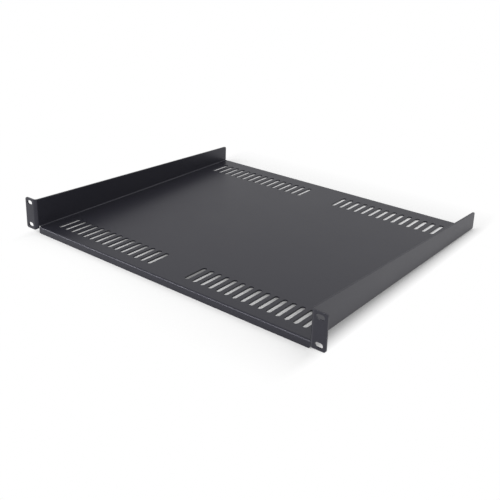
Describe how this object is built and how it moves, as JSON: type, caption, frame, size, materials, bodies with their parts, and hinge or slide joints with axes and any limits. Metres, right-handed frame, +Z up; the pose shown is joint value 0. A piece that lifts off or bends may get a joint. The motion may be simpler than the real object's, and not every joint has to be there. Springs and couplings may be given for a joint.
{
  "type": "cantilever rack shelf",
  "caption": "Folded sheet-steel shelf for a 19 inch rack, with slotted mounting ears, tapering side walls, a vented base and a short front lip.",
  "frame": {"origin": "middle of the rack bolt pattern, on the rear face of the ears, which seats on the front rails", "axes": "+X to the right seen from the front of the rack, +Y towards the rear of the rack, +Z up"},
  "size_m": [0.4826, 0.4, 0.0484],
  "materials": {
    "powder_coat": "fine-textured matt black powder coat on steel"
  },
  "bodies": {
    "root": {"cantilever_shelf": "powder_coat"}
  },
  "joints": []
}
